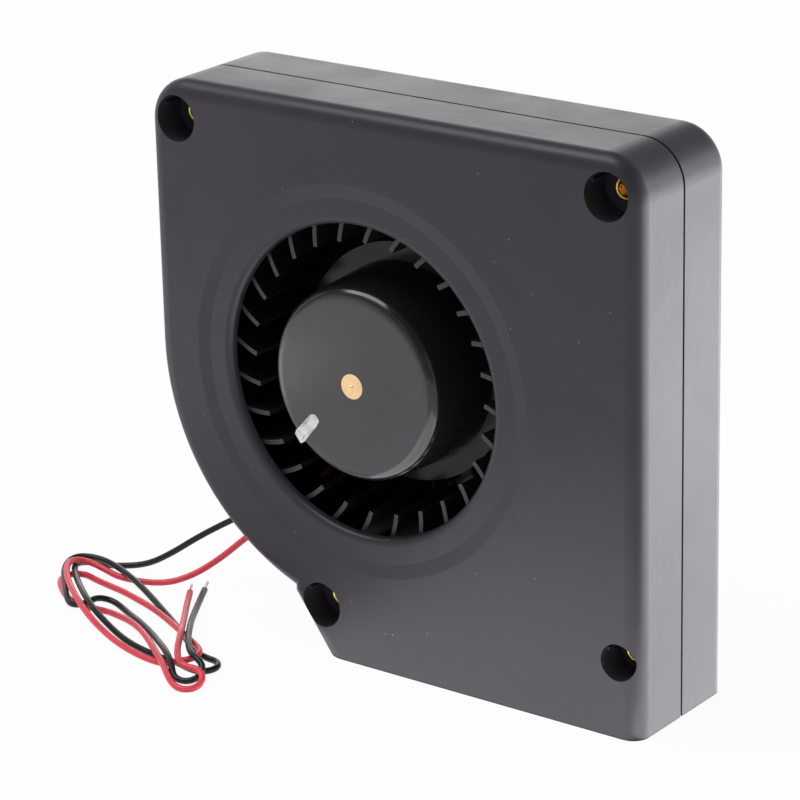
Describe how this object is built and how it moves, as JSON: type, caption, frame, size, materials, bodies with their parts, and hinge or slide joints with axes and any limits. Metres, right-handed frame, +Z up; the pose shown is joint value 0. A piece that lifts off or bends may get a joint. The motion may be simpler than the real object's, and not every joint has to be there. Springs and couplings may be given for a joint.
{
  "type": "dc blower fan",
  "caption": "Centrifugal blower with a square-cornered scroll housing, round front inlet, bottom outlet, external-rotor DC motor and two bare-ended leads.",
  "frame": {"origin": "centre of the plane of the outlet rim, under the middle of the housing and hub", "axes": "+X to the right across the front face, +Y from the inlet face to the back, +Z up away from the outlet"},
  "size_m": [0.1573, 0.063, 0.1188],
  "materials": {
    "housing_plastic": "satin, moulded",
    "impeller_plastic": "semi-gloss, moulded",
    "brass": "bright",
    "plated_steel": "zinc plated",
    "hard_steel": "ground",
    "ferrite": "matt",
    "core_steel": "stamped laminations",
    "insulator_plastic": "satin",
    "copper": "enamelled",
    "tinned_copper": "tinned",
    "board": "solder resist",
    "chip_plastic": "moulded",
    "capacitor_can": "satin",
    "black_insulation": "satin",
    "red_insulation": "satin"
  },
  "bodies": {
    "housing": {"front_shell": "housing_plastic", "front_shell_walls": "housing_plastic", "rear_shell": "housing_plastic", "rear_shell_walls": "housing_plastic", "housing_eyelets": "brass", "bearing_tube": "brass", "front_bearing_outer_race": "hard_steel", "front_bearing_shields": "plated_steel", "rear_bearing_outer_race": "hard_steel", "rear_bearing_shields": "plated_steel", "stator_core": "core_steel", "front_insulator": "insulator_plastic", "rear_insulator": "insulator_plastic", "stator_windings": "copper", "winding_pins": "tinned_copper", "driver_board": "board", "driver_chip": "chip_plastic", "chip_legs": "tinned_copper", "position_sensor": "chip_plastic", "capacitor": "capacitor_can", "chip_resistors": "chip_plastic", "lead_solder_joints": "tinned_copper", "black_lead_inside": "black_insulation", "red_lead_inside": "red_insulation", "black_lead": "black_insulation", "red_lead": "red_insulation", "lead_hank": "red_insulation", "red_lead_tail": "red_insulation", "black_lead_tail": "black_insulation", "red_lead_strands": "tinned_copper", "black_lead_strands": "tinned_copper"},
    "rotor": {"impeller_hub": "impeller_plastic", "impeller_blades": "impeller_plastic", "impeller_shroud": "impeller_plastic", "hub_bush": "brass", "rotor_yoke": "plated_steel", "ring_magnet": "ferrite", "shaft": "hard_steel", "front_bearing_inner_race": "hard_steel", "rear_bearing_inner_race": "hard_steel", "preload_spring": "hard_steel", "shim_washer": "hard_steel", "retaining_clip": "hard_steel", "front_bearing_balls": "hard_steel", "front_bearing_cage": "plated_steel", "rear_bearing_balls": "hard_steel", "rear_bearing_cage": "plated_steel"}
  },
  "joints": [
    {"name": "rotor_spin", "type": "hinge", "parent": "housing", "child": "rotor", "pos_m": [-0.0075, 0, 0.062], "axis": [0, 1, 0], "continuous": true}
  ]
}
